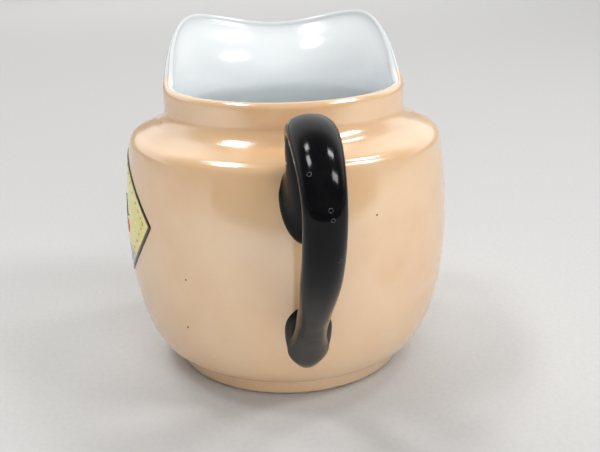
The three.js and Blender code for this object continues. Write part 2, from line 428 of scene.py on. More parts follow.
@dataclass(frozen=True)
class PaleFloor:
    """A pale, plain floor."""

    colour: tuple = (0.54, 0.536, 0.53)
    lightening: float = 1.06
    grain_size: float = 1.4
    ripple: Ripple = Ripple(0.9, 0.15, detail=3.0, strength=0.4)

    def material(self) -> bpy.types.Material:
        """Build the floor's material.

        Returns:
            The material.
        """
        s = Shader("pale_floor")
        s.set(Roughness=0.85, Specular_IOR_Level=0.2)
        place = s.place()
        pale = tuple(min(1.0, channel * self.lightening) for channel in self.colour)
        s.paint(s.ramp(s.noise(place, self.grain_size, detail=4.0), [(0.3, self.colour), (0.7, pale)]))
        s.bump(place, self.ripple)
        return s.material


@dataclass(frozen=True)
class DarkCard:
    """The dark card that the glaze reflects."""

    colour: tuple = (0.035, 0.028, 0.024, 1.0)

    def material(self) -> bpy.types.Material:
        """Build the card's material.

        Returns:
            The material.
        """
        s = Shader("dark_card")
        s.set(Base_Color=self.colour, Roughness=0.9)
        return s.material


def smoothstep(value: np.ndarray, low: float, high: float) -> np.ndarray:
    """An eased step from 0 to 1 between two values."""
    share = np.clip((value - low) / (high - low), 0.0, 1.0)
    return share * share * (3.0 - 2.0 * share)


def bezier(points: list, steps: int) -> np.ndarray:
    """Points along a Bezier curve of any degree.

    Args:
        points: Its control points.
        steps: The number of stretches.

    Returns:
        One row for each point, the first and last included.
    """
    share = np.linspace(0.0, 1.0, steps + 1)[:, None]
    level = [np.broadcast_to(np.asarray(p, float), (steps + 1, len(p))) for p in points]
    while len(level) > 1:
        level = [a * (1.0 - share) + b * share for a, b in zip(level, level[1:])]
    return level[0]


def left_normals(line: np.ndarray, looped: bool = False) -> np.ndarray:
    """Unit normals to the left of a line's direction.

    Args:
        line: Its points, a row for each.
        looped: Whether it closes on itself.

    Returns:
        A normal for each point.
    """
    if looped:
        way = np.roll(line, -1, axis=0) - np.roll(line, 1, axis=0)
    else:
        way = np.gradient(line, axis=0)
    way /= np.linalg.norm(way, axis=1, keepdims=True)
    return np.column_stack([-way[:, 1], way[:, 0]])


def run_lengths(line: np.ndarray) -> np.ndarray:
    """How far along a line each of its points lies."""
    return np.concatenate([[0.0], np.cumsum(np.linalg.norm(np.diff(line, axis=0), axis=1))])


def grid_faces(rows: int, columns: int, first: int = 0, turned: bool = False, looped: bool = False,
               ringed: bool = False) -> list:
    """Four-sided faces between the corners of a grid.

    Args:
        rows: The number of rows.
        columns: The number of corners in a row.
        first: The number of the grid's first corner.
        turned: Whether the faces look the other way.
        looped: Whether the last row joins the first.
        ringed: Whether each row closes on itself.

    Returns:
        The faces as corner numbers.
    """
    faces = []
    for row in range(rows if looped else rows - 1):
        here, there = first + row * columns, first + (row + 1) % rows * columns
        for column in range(columns if ringed else columns - 1):
            after = (column + 1) % columns
            face = (here + column, here + after, there + after, there + column)
            faces.append((face[0], *face[:0:-1]) if turned else face)
    return faces


def wall_faces(edge: list, drop: int, turned: bool = False) -> list:
    """Four-sided faces between an edge of a layer's top and the same edge of its underside.

    Args:
        edge: The corner numbers along the top edge.
        drop: How much higher the number of a corner's twin on the underside is.
        turned: Whether the faces look the other way.

    Returns:
        The faces as corner numbers.
    """
    faces = [(a, b, drop + b, drop + a) for a, b in zip(edge, edge[1:])]
    return [face[::-1] for face in faces] if turned else faces


def link_object(name: str, data: bpy.types.ID) -> bpy.types.Object:
    """A new object in the scene.

    Args:
        name: The object's name.
        data: The mesh, lamp or camera that it holds.

    Returns:
        The object.
    """
    thing = bpy.data.objects.new(name, data)
    bpy.context.scene.collection.objects.link(thing)
    return thing


def add_mesh(name: str, points: np.ndarray, faces: list, finish: bpy.types.Material) -> bpy.types.Object:
    """A smooth mesh object with its place in its mesh.

    Args:
        name: The piece's name.
        points: Its corners in millimetres.
        faces: Its faces as lists of corners.
        finish: Its material.

    Returns:
        The linked object.
    """
    mesh = bpy.data.meshes.new(name)
    mesh.from_pydata((np.asarray(points) * MM).tolist(), [], [list(f) for f in faces])
    mesh.materials.append(finish)
    mesh.shade_smooth()
    mesh.validate()
    return link_object(name, mesh)


def seat(piece: bpy.types.Object, slot: "Slot | None", *nodes: str) -> bpy.types.Object:
    """Let a piece ride on the jug and stand for its solids.

    Args:
        piece: The finished piece.
        slot: The record's slot, or None for paint that has none. It is not used.
        nodes: The solids that it stands for.

    Returns:
        The same piece.
    """
    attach(piece, BODY)
    if nodes:
        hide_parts(*nodes)
    LOG.info("%s: %d faces", piece.name, len(piece.data.polygons))
    return piece


class Recipe:
    """A Geometry Nodes tree with named inputs, run once and turned into a plain mesh."""

    def __init__(self, name: str) -> None:
        """Start a tree that takes and gives a geometry.

        Args:
            name: The tree's name.
        """
        self.tree = bpy.data.node_groups.new(name, "GeometryNodeTree")
        self.sockets = {}
        self.tree.interface.new_socket("Geometry", in_out="INPUT", socket_type="NodeSocketGeometry")
        self.tree.interface.new_socket("Geometry", in_out="OUTPUT", socket_type="NodeSocketGeometry")
        self.start = self.tree.nodes.new("NodeGroupInput")
        self.end = self.tree.nodes.new("NodeGroupOutput")

    def input(self, name: str, kind: str) -> bpy.types.NodeSocket:
        """Add a named input.

        Args:
            name: The input's name.
            kind: Its socket's type, without the NodeSocket prefix.

        Returns:
            Its socket inside the tree.
        """
        made = self.tree.interface.new_socket(name, in_out="INPUT", socket_type="NodeSocket" + kind)
        self.sockets[name] = made.identifier
        return self.start.outputs[name]

    def add(self, kind: str, **inputs: object) -> bpy.types.Node:
        """Add a node; inputs that are sockets are linked, and others are set.

        Args:
            kind: The node's full type.
            inputs: Sockets or values by input name, with spaces written as underscores.

        Returns:
            The new node.
        """
        node = self.tree.nodes.new(kind)
        for key, value in inputs.items():
            socket = node.inputs[key.replace("_", " ")]
            if isinstance(value, bpy.types.NodeSocket):
                self.tree.links.new(value, socket)
            else:
                socket.default_value = value
        return node

    def finish(self, geometry: bpy.types.NodeSocket, finish: bpy.types.NodeSocket) -> None:
        """End the tree: real geometry, smooth, in its own material.

        Args:
            geometry: The socket that holds what was made.
            finish: The material's socket.
        """
        real = self.add("GeometryNodeRealizeInstances", Geometry=geometry)
        smooth = self.add("GeometryNodeSetShadeSmooth", Geometry=real.outputs["Geometry"])
        dressed = self.add(
            "GeometryNodeSetMaterial", Geometry=smooth.outputs["Geometry"], Material=finish
        )
        self.tree.links.new(dressed.outputs["Geometry"], self.end.inputs["Geometry"])

    def run(self, source: bpy.types.Object, name: str, **values: object) -> bpy.types.Object:
        """Run the tree on an object and put the plain result in its place.

        Args:
            source: The object that feeds the tree. It is removed.
            name: The new piece's name.
            values: The tree's inputs by name, with spaces written as underscores.

        Returns:
            The new piece.
        """
        modifier = source.modifiers.new("recipe", "NODES")
        modifier.node_group = self.tree
        for key, value in values.items():
            modifier[self.sockets[key.replace("_", " ")]] = value
        graph = bpy.context.evaluated_depsgraph_get()
        mesh = bpy.data.meshes.new_from_object(source.evaluated_get(graph))
        source.modifiers.remove(modifier)
        bpy.data.objects.remove(source)
        mesh.name = name
        return link_object(name, mesh)


def turning_recipe() -> Recipe:
    """A tree that turns a profile about Z, as a jigger turns a pot.

    Returns:
        The tree.
    """
    recipe = Recipe("turned_profile")
    segments = recipe.input("Segments", "Int")
    hub = recipe.input("Hub Radius", "Float")
    finish = recipe.input("Finish", "Material")
    line = recipe.add("GeometryNodeMeshToCurve", Mesh=recipe.start.outputs["Geometry"])
    inward = recipe.add("ShaderNodeMath")
    inward.operation = "MULTIPLY"
    recipe.tree.links.new(hub, inward.inputs[0])
    inward.inputs[1].default_value = -1.0
    shift = recipe.add("ShaderNodeCombineXYZ", X=inward.outputs["Value"])
    moved = recipe.add(
        "GeometryNodeTransform", Geometry=line.outputs["Curve"], Translation=shift.outputs["Vector"]
    )
    path = recipe.add("GeometryNodeCurvePrimitiveCircle", Resolution=segments, Radius=hub)
    made = recipe.add(
        "GeometryNodeCurveToMesh", Curve=path.outputs["Curve"], Profile_Curve=moved.outputs["Geometry"]
    )
    merged = recipe.add("GeometryNodeMergeByDistance", Geometry=made.outputs["Mesh"], Distance=WELD)
    recipe.finish(merged.outputs["Geometry"], finish)
    return recipe


def mark_recipe(mark: Mark) -> Recipe:
    """A tree that sets one small mark on each of its points, square to the surface there.

    Args:
        mark: Rings for burst bubbles, or low domes for specks and beads.

    Returns:
        The tree, whose points carry their facing and their size.
    """
    recipe = Recipe("set_out_" + mark.value)
    sides = recipe.input("Sides", "Int")
    finish = recipe.input("Finish", "Material")
    facing = recipe.add("GeometryNodeInputNamedAttribute", Name="facing")
    facing.data_type = "FLOAT_VECTOR"
    size = recipe.add("GeometryNodeInputNamedAttribute", Name="size")
    size.data_type = "FLOAT"
    turn = recipe.add("FunctionNodeAlignRotationToVector", Vector=facing.outputs["Attribute"])
    turn.axis = "Z"
    points = recipe.add("GeometryNodeMeshToPoints", Mesh=recipe.start.outputs["Geometry"])
    if mark is Mark.RING:
        path = recipe.add("GeometryNodeCurvePrimitiveCircle", Resolution=sides, Radius=MARK_RADIUS)
        section = recipe.add(
            "GeometryNodeCurvePrimitiveCircle", Resolution=RING_WIRE_SIDES, Radius=RING_WIRE_RADIUS
        )
        shape = recipe.add(
            "GeometryNodeCurveToMesh", Curve=path.outputs["Curve"], Profile_Curve=section.outputs["Curve"]
        ).outputs["Mesh"]
    else:
        ball = recipe.add("GeometryNodeMeshUVSphere", Segments=sides, Rings=DOME_RINGS, Radius=MARK_RADIUS)
        flat = recipe.add(
            "GeometryNodeTransform", Geometry=ball.outputs["Mesh"], Scale=(1.0, 1.0, DOME_FLATTENING)
        )
        shape = flat.outputs["Geometry"]
    placed = recipe.add(
        "GeometryNodeInstanceOnPoints", Points=points.outputs["Points"], Instance=shape,
        Rotation=turn.outputs["Rotation"], Scale=size.outputs["Attribute"],
    )
    recipe.finish(placed.outputs["Instances"], finish)
    return recipe


def set_out(mark: Mark, name: str, places: list, finish: bpy.types.Material) -> bpy.types.Object:
    """A piece made of small marks.

    Args:
        mark: The kind of mark.
        name: The piece's name.
        places: For each mark its point and facing, and its size in millimetres.
        finish: Their material.

    Returns:
        The piece.
    """
    mesh = bpy.data.meshes.new(name + "_points")
    mesh.from_pydata([tuple(np.asarray(point) * MM) for point, _, _ in places], [], [])
    facing = np.array([way for _, way, _ in places], float)
    mesh.attributes.new("facing", "FLOAT_VECTOR", "POINT").data.foreach_set("vector", facing.ravel())
    sizes = [size * MM for _, _, size in places]
    mesh.attributes.new("size", "FLOAT", "POINT").data.foreach_set("value", sizes)
    source = link_object(name + "_points", mesh)
    return mark_recipe(mark).run(source, name, Sides=MARK_SIDES, Finish=finish)


@dataclass(frozen=True)
class PouringLip:
    """The collar's pull into two rounded ears with a shallow dip between them, flared out as a scoop."""

    rise: float = 15.57
    dip: float = 4.4
    flare: float = 10.0
    flare_power: float = 2.0
    thinning: float = 0.5
    start_angle: float = 89.9
    ear_angle: float = 42.0
    start_round: float = 0.1
    ear_round: float = 0.14
    turn: float = 3.4

    def angles(self, points: np.ndarray) -> np.ndarray:
        """How far round each point stands from the lip's middle, in degrees."""
        angle = np.degrees(np.arctan2(points[:, 0], points[:, 1])) - self.turn
        return np.abs((angle + 180.0) % 360.0 - 180.0)

    def share(self, angle: np.ndarray) -> np.ndarray:
        """How much of the lip's rise is reached, with both ends of the climb rounded.

        Args:
            angle: Degrees from the lip's middle.

        Returns:
            The share at each angle, from 0 to 1.
        """
        climb = (self.start_angle - angle) / (self.start_angle - self.ear_angle)
        lower = np.sqrt(climb**2 + self.start_round**2)
        upper = np.sqrt((climb - 1.0) ** 2 + self.ear_round**2)
        return np.clip(0.5 * (lower - upper + 1.0), 0.0, 1.0)

    def pull(self, points: np.ndarray, base: float, top: float, outer: float) -> np.ndarray:
        """Lift, flare and thin the points of the collar.

        Args:
            points: Corners about the pot's own axis, in millimetres.
            base: The height where the pull starts.
            top: The height where it is full.
            outer: The collar's outer radius, which the wall thins towards.

        Returns:
            The moved corners.
        """
        angle = self.angles(points)
        share = self.share(angle)
        dip = self.dip * np.cos(np.clip(angle / self.ear_angle, 0.0, 1.0) * math.pi / 2) ** 2
        up = np.clip((points[:, 2] - base) / (top - base), 0.0, 1.0)
        radius = np.maximum(np.hypot(points[:, 0], points[:, 1]), LEAST_RADIUS)
        thinner = (outer - radius) * self.thinning * share * up**2
        grown = 1.0 + (self.flare * share**2 * up**self.flare_power + thinner) / radius
        moved = points.copy()
        moved[:, 0] *= grown
        moved[:, 1] *= grown
        moved[:, 2] += (self.rise * share - dip) * up
        return moved


@dataclass(frozen=True)
class PotShape:
    """The pot's clay profile, stacked from the foot upwards."""

    wall: float = 3.0
    rim_wall: float = 2.2
    foot_radius: float = 32.3
    foot_height: float = 5.6
    foot_flare: float = 1.6
    foot_ring_width: float = 4.4
    foot_recess: float = 4.6
    foot_edge: float = 0.7
    belly_radius: float = 44.65
    belly_rise: float = 33.4
    shoulder_rise: float = 25.3
    shoulder_draw_in: float = 2.1
    shoulder_round: float = 2.6
    shoulder_width: float = 10.1
    shoulder_slope: float = 6.2
    neck_fillet: float = 2.7
    collar_height: float = 8.4
    glaze: float = 0.35
    inner_ease: float = 4.5
    slope_foot_share: float = 0.42
    slope_top_share: float = 0.25
    edge_bend_share: float = 0.125
    neck_bend_share: float = 1 / 12
    foot_bend: float = 1.2
    foot_top_draw: float = 0.4
    foot_edge_draw: float = 0.5
    foot_steps: int = 8
    floor_steps: int = 11
    lower_steps: int = 32
    side_steps: int = 14
    corner_steps: int = 10
    slope_steps: int = 4
    rim_steps: int = 6
    lip: PouringLip = field(default_factory=PouringLip)

    @property
    def belly_height(self) -> float:
        """Height of the widest part."""
        return self.foot_height + self.belly_rise

    @property
    def shoulder_height(self) -> float:
        """Height of the shoulder's edge."""
        return self.belly_height + self.shoulder_rise

    @property
    def neck_height(self) -> float:
        """Height where the shoulder's slope meets the collar."""
        return self.shoulder_height + self.shoulder_slope

    @property
    def neck_radius(self) -> float:
        """Outer radius of the collar."""
        return self.belly_radius - self.shoulder_draw_in - self.shoulder_width

    @property
    def collar_base(self) -> float:
        """Height where the collar stands straight."""
        return self.neck_height + self.neck_fillet

    @property
    def rim_side(self) -> float:
        """Height where the rim starts to round over."""
        return self.neck_height + self.collar_height - self.rim_wall / 2

    @property
    def recess_radius(self) -> float:
        """Radius of the recess inside the foot ring."""
        return self.foot_radius - self.foot_ring_width

    def outer_wall(self) -> np.ndarray:
        """The outer clay line, from the foot's top to the side of the rim.

        Returns:
            Radius and height of its points.
        """
        drop = self.shoulder_slope
        foot = (self.foot_radius + self.foot_flare, self.foot_height)
        belly = (self.belly_radius, self.belly_height)
        shoulder = (self.belly_radius - self.shoulder_draw_in, self.shoulder_height)
        slope_foot = (shoulder[0] - self.shoulder_round, shoulder[1] + drop * self.slope_foot_share)
        slope_top = (self.neck_radius + self.neck_fillet, self.neck_height - drop * self.slope_top_share)
        neck = (self.neck_radius, self.collar_base)
        belly_bend = (belly[0], (belly[1] + shoulder[1]) / 2)
        edge_bend = (
            shoulder[0] - self.shoulder_round * self.edge_bend_share,
            slope_foot[1] - drop * self.edge_bend_share,
        )
        neck_bend = (neck[0], self.neck_height + drop * self.neck_bend_share)
        turn = np.linspace(-math.pi / 2, 0.0, self.lower_steps + 1)
        lower = np.column_stack([
            foot[0] + (belly[0] - foot[0]) * np.cos(turn), belly[1] + (belly[1] - foot[1]) * np.sin(turn)
        ])
        upper = bezier([belly, belly_bend, shoulder], self.side_steps)
        edge = bezier([shoulder, edge_bend, slope_foot], self.corner_steps)
        slope = bezier([slope_foot, slope_top], self.slope_steps)
        fillet = bezier([slope_top, neck_bend, neck], self.corner_steps)
        collar = bezier([neck, (neck[0], self.rim_side)], self.side_steps)
        return np.vstack([lower, upper[1:], edge[1:], slope[1:], fillet[1:], collar[1:]])

    def inner_wall(self) -> np.ndarray:
        """The inner clay line, a wall's thickness inside the outer one.

        Returns:
            Radius and height of its points.
        """
        outer = self.outer_wall()
        inner = outer + left_normals(outer) * self.wall
        kept = [inner[0]]
        for point in inner[1:]:
            if point[1] > kept[-1][1] + LEAST_RISE:
                kept.append(point)
        line = np.array(kept)
        collar = line[:, 1] > self.collar_base
        share = (line[collar, 1] - self.collar_base) / (self.rim_side - self.collar_base)
        line[collar, 0] = self.neck_radius - self.wall + (self.wall - self.rim_wall) * share
        return self.eased(line)

    def eased(self, line: np.ndarray) -> np.ndarray:
        """A line with its corners softened, as slip leaves them, and its two ends kept.

        Args:
            line: Its points, as radius and height.

        Returns:
            The softened line's points.
        """
        run = run_lengths(line)
        weight = np.exp(-0.5 * ((run[:, None] - run[None, :]) / self.inner_ease) ** 2)
        weight *= np.gradient(run)[None, :]
        soft = weight @ line / weight.sum(axis=1, keepdims=True)
        near = np.minimum(run, run[-1] - run) / (2.0 * self.inner_ease)
        share = smoothstep(near, 0.0, 1.0)[:, None]
        return line * (1.0 - share) + soft * share

    def rim_arc(self, start: float, end: float) -> np.ndarray:
        """Part of the rim's round top, without its first point.

        Args:
            start: The angle to start from, in degrees.
            end: The angle to end at.

        Returns:
            Radius and height of its points.
        """
        turn = np.radians(np.linspace(start, end, self.rim_steps + 1))[1:]
        half = self.rim_wall / 2
        centre = (self.neck_radius - half, self.rim_side)
        return np.column_stack([centre[0] + half * np.cos(turn), centre[1] + half * np.sin(turn)])

    def radius_at(self, height: np.ndarray, standing_off: float = 0.0) -> np.ndarray:
        """The side's outer radius at a height, below the neck.

        Args:
            height: One height or more, in millimetres.
            standing_off: How far off the clay.

        Returns:
            The radius at each height.
        """
        line = self.outer_wall()
        line = line - left_normals(line) * standing_off
        line = line[line[:, 1] < self.neck_height]
        return np.interp(height, line[:, 1], line[:, 0])

    def flank(self, azimuth: np.ndarray, height: np.ndarray, standing_off: float) -> tuple:
        """Points on the side about the pot's axis, and the way the side faces there.

        Args:
            azimuth: Radians from the handle's side towards the left flank.
            height: Their heights.
            standing_off: How far off the clay.

        Returns:
            The points and the unit facings, a row for each.
        """
        radius = self.radius_at(height, standing_off)
        half = LEAN_STEP / 2
        lean = (self.radius_at(height + half) - self.radius_at(height - half)) / LEAN_STEP
        across, along = -np.sin(azimuth), -np.cos(azimuth)
        facing = np.column_stack([across, along, -lean])
        facing /= np.linalg.norm(facing, axis=1, keepdims=True)
        return np.column_stack([across * radius, along * radius, height]), facing


class Face(Enum):
    """The faces of the clay that carry a coat."""

    INSIDE = "inside"
    OUTSIDE = "outside"
    UNDERSIDE = "underside"


@dataclass
class Pot:
    """The turned pot and its three coats of glaze."""

    shape: PotShape
    axis_y: float
    segments: int = 224
    hub: float = 10.0
    white_below_rim: tuple = (0.9, 0.1)
    white_lip_shares: tuple = (0.03, 0.2)
    recipe: Recipe = field(default_factory=turning_recipe)

    def face(self, which: Face) -> np.ndarray:
        """One face of the clay, as radius and height, with the clay on its right.

        Args:
            which: The face.

        Returns:
            The points of its line.
        """
        shape = self.shape
        if which is Face.INSIDE:
            inner = shape.inner_wall()
            across = np.linspace(0.0, inner[0, 0], shape.floor_steps + 1)[:-1]
            floor = np.column_stack([across, np.full(shape.floor_steps, inner[0, 1])])
            return np.vstack([floor, inner, shape.rim_arc(180.0, 90.0)])
        if which is Face.OUTSIDE:
            outer = shape.outer_wall()[::-1]
            crest = shape.rim_arc(180.0, 90.0)[-1:]
            top, edge = outer[-1], np.array([shape.foot_radius, shape.foot_edge])
            foot = bezier([
                top, top - (shape.foot_top_draw, shape.foot_bend),
                edge + (shape.foot_edge_draw, shape.foot_bend), edge,
            ], shape.foot_steps)
            return np.vstack([crest, shape.rim_arc(90.0, 0.0), outer[1:], foot[1:]])
        recess, ceiling = shape.recess_radius, shape.foot_recess
        return np.array([(recess, ceiling), (recess / 2, ceiling), (0.0, ceiling)])

    def coat_line(self, face: np.ndarray) -> np.ndarray:
        """The outer line of a coat.

        Args:
            face: The line of the face that it covers.

        Returns:
            The points of its line.
        """
        line = face + left_normals(face) * self.shape.glaze
        line[face[:, 0] == 0.0, 0] = 0.0
        return line

    def turn(self, name: str, profile: np.ndarray, finish: bpy.types.Material) -> bpy.types.Object:
        """Turn a profile about the pot's axis and pull its lip.

        Args:
            name: The piece's name.
            profile: Radius and height of its line, with the material on its right.
            finish: Its material.

        Returns:
            The piece, in the jug's frame.
        """
        line = bpy.data.meshes.new(name + "_line")
        corners = [(r * MM, -z * MM, 0.0) for r, z in profile]
        line.from_pydata(corners, [(i, i + 1) for i in range(len(corners) - 1)], [])
        source = link_object(name + "_line", line)
        piece = self.recipe.run(
            source, name, Segments=self.segments, Hub_Radius=self.hub * MM, Finish=finish
        )
        mesh = piece.data
        flat = np.empty(len(mesh.vertices) * 3)
        mesh.vertices.foreach_get("co", flat)
        points = flat.reshape(-1, 3) / MM
        shape = self.shape
        moved = shape.lip.pull(points, shape.collar_base, shape.rim_side, shape.neck_radius)
        moved[:, 1] += self.axis_y
        mesh.vertices.foreach_set("co", (moved * MM).ravel())
        bare = self.lip_bare(points)
        mesh.attributes.new(LIP_WHITE, "FLOAT", "POINT").data.foreach_set("value", bare)
        mesh.update()
        return piece

    def lip_bare(self, points: np.ndarray) -> np.ndarray:
        """Where the lip's rim stays white, as a share from 0 to 1.

        Args:
            points: Corners before the lip is pulled.

        Returns:
            The share at each corner.
        """
        rim, lip = self.shape.rim_side, self.shape.lip
        high = smoothstep(points[:, 2], rim - self.white_below_rim[0], rim - self.white_below_rim[1])
        return high * smoothstep(lip.share(lip.angles(points)), *self.white_lip_shares)

    def coat(self, name: str, which: Face, finish: bpy.types.Material) -> bpy.types.Object:
        """A closed coat of glaze on one face of the clay.

        Args:
            name: The piece's name.
            which: The face.
            finish: Its material.

        Returns:
            The coat.
        """
        face = self.face(which)
        coat = self.coat_line(face)
        back = face[::-1]
        if face[-1, 0] == 0.0:
            return self.turn(name, np.vstack([back, coat]), finish)
        loop = [coat, back] if face[0, 0] == 0.0 else [coat, back, coat[:1]]
        return self.turn(name, np.vstack(loop), finish)

    def clay(self, name: str, finish: bpy.types.Material) -> bpy.types.Object:
        """The clay pot itself, with its foot ring.

        Args:
            name: The piece's name.
            finish: Its material.

        Returns:
            The pot.
        """
        shape = self.shape
        edge = shape.foot_edge
        rest = np.array([(shape.foot_radius - edge, 0.0), (shape.recess_radius + edge, 0.0)])
        profile = np.vstack([
            self.face(Face.INSIDE), self.face(Face.OUTSIDE)[1:], rest, self.face(Face.UNDERSIDE)
        ])
        return self.turn(name, profile, finish)

    def build(self, clay: BareClay, white: WhiteGlaze, lustre: PeachLustre) -> None:
        """Make and seat the pot and its coats.

        Args:
            clay: The foot's bare finish.
            white: The lining's finish.
            lustre: The outside's finish.
        """
        white_finish = white.material()
        seat(self.clay("clay_pot", clay.material()), Slot.CLAY, "pot_body")
        seat(self.coat("white_lining", Face.INSIDE, white_finish), Slot.WHITE, "inside_glaze")
        seat(self.coat("peach_coat", Face.OUTSIDE, lustre.material()), Slot.LUSTRE, "outside_lustre_glaze")
        seat(self.coat("foot_glaze", Face.UNDERSIDE, white_finish), Slot.WHITE, "underside_glaze")


@dataclass(frozen=True)
class EggPad:
    """An egg-shaped pad of slip under one of the handle's roots, domed and steeper towards its edge."""

    half_width: float
    above: float
    below: float
    height: float
    thickness: float = 1.7
    depth: float = 0.6
    crown_power: int = 3
    edge_power: float = 0.6


@dataclass
class Handle:
    """The black ear handle: a flattened oval strap between two pads."""

    shape: PotShape
    axis_y: float
    upper_root_drop: float = 8.0
    lower_root_rise: float = 15.1
    root_depth: float = 3.0
    tail_depth: float = 3.0
    crest_rise: float = 21.5
    crest_out: float = 10.0
    stand_off: float = 28.4
    reach_drop: float = 13.5
    thickness: float = 6.4
    root_thickness: float = 12.0
    roundness: float = 2.0
    bury: float = 1.0
    land_off: float = 9.0
    tip_height: float = 13.1
    tip_depth: float = 0.5
    tip_round: float = 8.5
    tip_share: float = 0.9995
    skirt: float = 1.9
    skirt_reach: float = 1.7
    stations: tuple = ((0.0, 9.0), (0.26, 11.2), (0.47, 9.3), (0.6, 9.3), (0.76, 8.0), (1.0, 7.6))
    root_share: float = 0.25
    root_out_share: float = 0.4
    root_up_share: float = 0.36
    crest_in_share: float = 0.34
    crest_out_share: float = 0.47
    reach_up_share: float = 0.5
    reach_down_share: float = 0.35
    tail_out_share: float = 0.41
    tail_up_share: float = 0.28
    landing_shares: tuple = (0.32, 0.38)
    upper_pad_drop: float = 4.6
    lower_pad_rise: float = 19.6
    steps: int = 240
    sides: int = 64
    curve_steps: int = 60
    fall_steps: int = 100
    pad_rings: int = 18

    def pads(self) -> dict:
        """The two pads by the solid that each stands for.

        Returns:
            The pads by the names of their solids.
        """
        upper = self.shape.shoulder_height - self.upper_pad_drop
        lower = self.shape.foot_height + self.lower_pad_rise
        return {
            "upper_handle_joint": EggPad(half_width=6.4, above=6.2, below=12.0, height=upper),
            "lower_handle_joint": EggPad(half_width=5.9, above=6.6, below=12.6, height=lower),
        }

    def line(self) -> np.ndarray:
        """The strap's centre line, evenly stepped.

        Returns:
            Distance out from the pot's axis and height of its points.
        """
        shape = self.shape
        root_height = shape.shoulder_height - self.upper_root_drop
        tail_height = shape.foot_height + self.lower_root_rise
        root_radius = float(shape.radius_at(root_height))
        root = np.array([root_radius - self.root_depth, root_height])
        tail = np.array([float(shape.radius_at(tail_height)) - self.tail_depth, tail_height])
        crest = np.array([root_radius + self.crest_out, root_height + self.crest_rise])
        reach = np.array([shape.belly_radius + self.stand_off, crest[1] - self.reach_drop])
        rise = crest[1] - root[1]
        after_root = root + rise * np.array([self.root_out_share, self.root_up_share])
        before_crest = crest - (rise * self.crest_in_share, 0.0)
        after_crest = crest + ((reach[0] - crest[0]) * self.crest_out_share, 0.0)
        before_reach = reach + (0.0, self.reach_drop * self.reach_up_share)
        after_reach = reach - (0.0, (reach[1] - tail[1]) * self.reach_down_share)
        before_tail = tail + (reach - tail) * np.array([self.tail_out_share, self.tail_up_share])
        upper = bezier([root, after_root, before_crest, crest], self.curve_steps)
        over = bezier([crest, after_crest, before_reach, reach], self.curve_steps)
        down = bezier([reach, after_reach, before_tail, tail], self.fall_steps)
        landed = int(np.argmax(down[:, 0] - shape.radius_at(down[:, 1]) < self.land_off))
        dense = np.vstack([upper, over[1:], down[1:landed], self.landing(down[landed - 1], down[landed])])
        run = run_lengths(dense)
        even = np.linspace(0.0, run[-1], self.steps + 1)
        return np.column_stack([np.interp(even, run, dense[:, 0]), np.interp(even, run, dense[:, 1])])

    def landing(self, before: np.ndarray, start: np.ndarray) -> np.ndarray:
        """The line's last stretch, which bends to lie down along the pot's side.

        Args:
            before: The point before the bend.
            start: The point where it starts.

        Returns:
            The points from the start to the tail's tip.
        """
        way = (start - before) / np.linalg.norm(start - before)
        heights = (self.tip_height, self.tip_height + LEAN_STEP)
        low, high = (np.array([float(self.shape.radius_at(z)), z]) for z in heights)
        along = (high - low) / np.linalg.norm(high - low)
        tip = low - (self.tip_depth, 0.0)
        span = np.linalg.norm(tip - start)
        leave, arrive = self.landing_shares
        bend = [start, start + way * span * leave, tip + along * span * arrive, tip]
        return bezier(bend, self.curve_steps)

    def widths(self, share: np.ndarray) -> np.ndarray:
        """The strap's width, eased from station to station.

        Args:
            share: Places along the strap, as shares of its length.

        Returns:
            The width at each place.
        """
        width = np.full_like(share, self.stations[0][1])
        for (low, start), (high, end) in zip(self.stations, self.stations[1:]):
            width = np.where(share > low, start + (end - start) * smoothstep(share, low, high), width)
        return width

    def strap(self, finish: bpy.types.Material) -> bpy.types.Object:
        """The strap, with its two ends let into the pot's wall.

        Args:
            finish: Its material.

        Returns:
            The strap.
        """
        line = self.line()
        normal = left_normals(line)
        share = np.linspace(0.0, 1.0, self.steps + 1)
        width = self.widths(share)
        thinned = (self.root_thickness - self.thickness) * smoothstep(share, 0.0, self.root_share)
        thick = self.root_thickness - thinned
        turn = np.linspace(0.0, 2 * math.pi, self.sides, endpoint=False)
        power = 2.0 / self.roundness
        across = np.sign(np.cos(turn)) * np.abs(np.cos(turn)) ** power
        deep = np.sign(np.sin(turn)) * np.abs(np.sin(turn)) ** power
        run = run_lengths(line)
        ending = np.clip((run - run[-1] + self.tip_round) / self.tip_round, 0.0, self.tip_share)
        closing = np.sqrt(1.0 - ending**2)
        wide, tall = np.outer(width * closing / 2, across), np.outer(thick * closing / 2, deep)
        points = self.section_points(line, normal, wide, tall)
        off = np.hypot(points[:, 0], points[:, 1]) - self.shape.radius_at(points[:, 2])
        skirt = self.skirt * np.exp(-np.clip(off, 0.0, None) / self.skirt_reach)
        spread = skirt.reshape(self.steps + 1, self.sides) * closing[:, None]
        points = self.section_points(
            line, normal, wide + spread * np.cos(turn), tall + spread * np.minimum(np.sin(turn), 0.0)
        )
        radius = np.hypot(points[:, 0], points[:, 1])
        least = self.shape.radius_at(points[:, 2]) - self.bury
        grown = np.where(radius < least, least / np.maximum(radius, LEAST_RADIUS), 1.0)
        points[:, :2] *= grown[:, None]
        points[:, 1] += self.axis_y
        last = self.steps * self.sides
        faces = grid_faces(self.steps + 1, self.sides, ringed=True)
        faces.append(tuple(range(self.sides - 1, -1, -1)))
        faces.append(tuple(range(last, last + self.sides)))
        return add_mesh("handle_strap", points, faces, finish)

